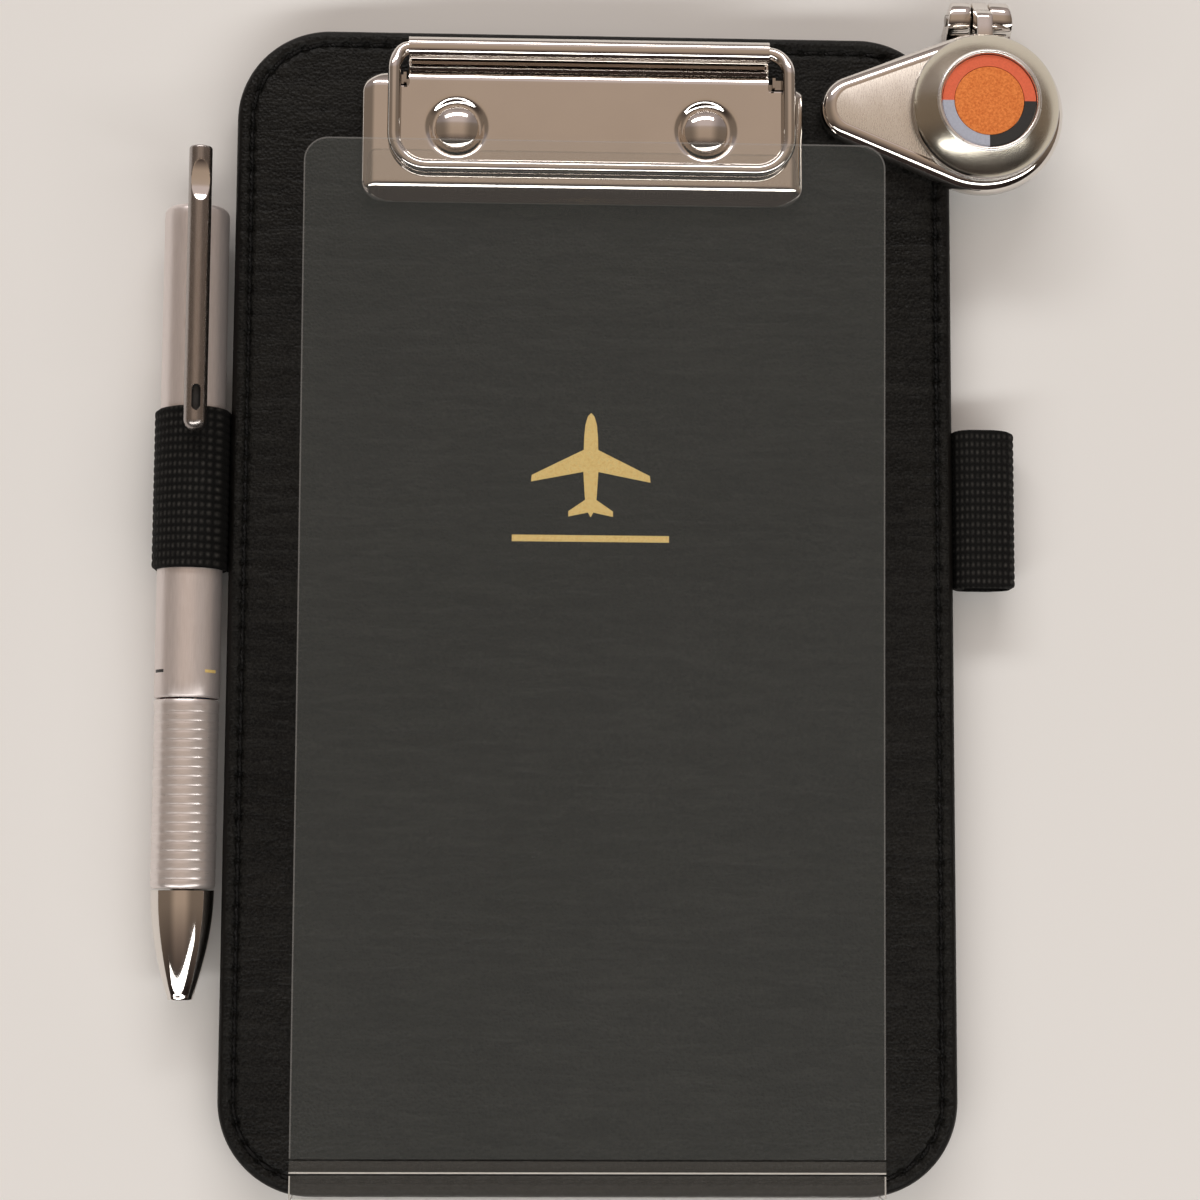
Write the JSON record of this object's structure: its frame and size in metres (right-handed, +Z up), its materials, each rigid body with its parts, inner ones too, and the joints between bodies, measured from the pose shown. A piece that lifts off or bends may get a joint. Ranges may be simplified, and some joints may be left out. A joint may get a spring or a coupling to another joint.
{
  "type": "pilot kneeboard",
  "caption": "Black leather pilot kneeboard with a wire-bail paper clip, clear flap cover, elastic pen loops, a click pen and a clip-on carbon monoxide spot indicator.",
  "frame": {"origin": "centre of the whole object's box in plan, on the surface it lies on", "axes": "+Z up from the board's face, +Y towards the paper clip, +X towards the clip-on indicator"},
  "size_m": [0.1514, 0.2012, 0.018],
  "materials": {
    "leather": "fine grained black leather, satin",
    "board": "dense fibre board",
    "foam": "closed-cell foam",
    "thread": "waxed polyester thread",
    "elastic": "ribbed woven elastic",
    "chrome": "polished nickel-chrome plate",
    "steel": "plain steel",
    "pen_satin": "satin brushed pen metal",
    "clear_film": "clear flexible sheet",
    "card": "printed colour card",
    "sensor": "orange reagent pad, matt",
    "magnet": "nickel plated magnet",
    "ink_black": "black plastic",
    "ink_blue": "blue plastic",
    "ink_red": "red plastic"
  },
  "bodies": {
    "root": {"rear_leather": "leather", "foam_pad": "foam", "core_board": "board", "front_leather": "leather", "front_stitching": "thread", "rear_stitching": "thread", "left_pen_loop": "elastic", "right_pen_loop": "elastic", "clip_base": "steel", "rivet_left": "chrome", "rivet_right": "chrome", "rivet_washer_left": "steel", "rivet_washer_right": "steel", "clip_spring": "steel", "cover_tab": "clear_film", "rear_jaw": "chrome", "hinge_pin": "steel", "jaw_spring": "steel"},
    "clip_plate": {"clip_plate": "chrome"},
    "bail": {"wire_bail": "chrome"},
    "cover_hem": {"cover_hem": "clear_film"},
    "cover": {"cover_film": "clear_film"},
    "front_jaw": {"front_jaw": "chrome", "jaw_magnet": "magnet"},
    "marker": {"marker_bezel": "chrome", "indicator_card": "card", "sensor_disc": "sensor"},
    "pen": {"pen_barrel": "pen_satin", "pen_grip": "pen_satin", "pen_tip": "chrome", "refill_guide": "ink_black", "refill_blue": "ink_blue", "refill_red": "ink_red", "refill_spring": "steel"},
    "clicker": {"pen_clip": "pen_satin"},
    "refill": {"refill_black": "ink_black"}
  },
  "joints": [
    {"name": "bail_lift", "type": "hinge", "parent": "root", "child": "bail", "pos_m": [-0.00308, 0.0835, 0.0115], "axis": [-1, 0, 0], "range_deg": [0, 17], "stiffness_Nm_per_rad": 0.4, "springref_deg": -11.46},
    {"name": "plate_rock", "type": "hinge", "parent": "root", "child": "clip_plate", "pos_m": [-0.00308, 0.0755, 0.0104], "axis": [-1, 0, 0], "range_deg": [0, 7], "deforming": ["clip_spring"]},
    {"name": "cover_lift", "type": "hinge", "parent": "root", "child": "cover_hem", "pos_m": [-0.00308, -0.09625, 0.00845], "axis": [1, 0, 0], "range_deg": [0, 1.7]},
    {"name": "cover_open", "type": "hinge", "parent": "cover_hem", "child": "cover", "pos_m": [-0.00308, -0.09395, 0.00875], "axis": [1, 0, 0], "range_deg": [0, 175]},
    {"name": "jaw_open", "type": "hinge", "parent": "root", "child": "front_jaw", "pos_m": [0.06243, 0.0975, 0.00475], "axis": [-1, 0, 0], "range_deg": [0, 30], "stiffness_Nm_per_rad": 0.08, "springref_deg": -17.19},
    {"name": "marker_lift", "type": "slide", "parent": "front_jaw", "child": "marker", "axis": [0, 0, 1], "range_m": [0, 0.015]},
    {"name": "pen_slide", "type": "slide", "parent": "root", "child": "pen", "axis": [0, 1, 0], "range_m": [0, 0.096]},
    {"name": "clip_press", "type": "slide", "parent": "pen", "child": "clicker", "axis": [0, -1, 0], "range_m": [0, 0.005], "stiffness_N_per_m": 400, "springref_m": -0.002},
    {"name": "refill_advance", "type": "slide", "parent": "pen", "child": "refill", "axis": [0, -1, 0], "range_m": [0, 0.005]}
  ],
  "couplings": [
    {"joint": "plate_rock", "follows": "bail_lift", "ratio": 0.388},
    {"joint": "cover_lift", "follows": "bail_lift", "ratio": 0.1},
    {"joint": "refill_advance", "follows": "clip_press", "ratio": 1}
  ]
}
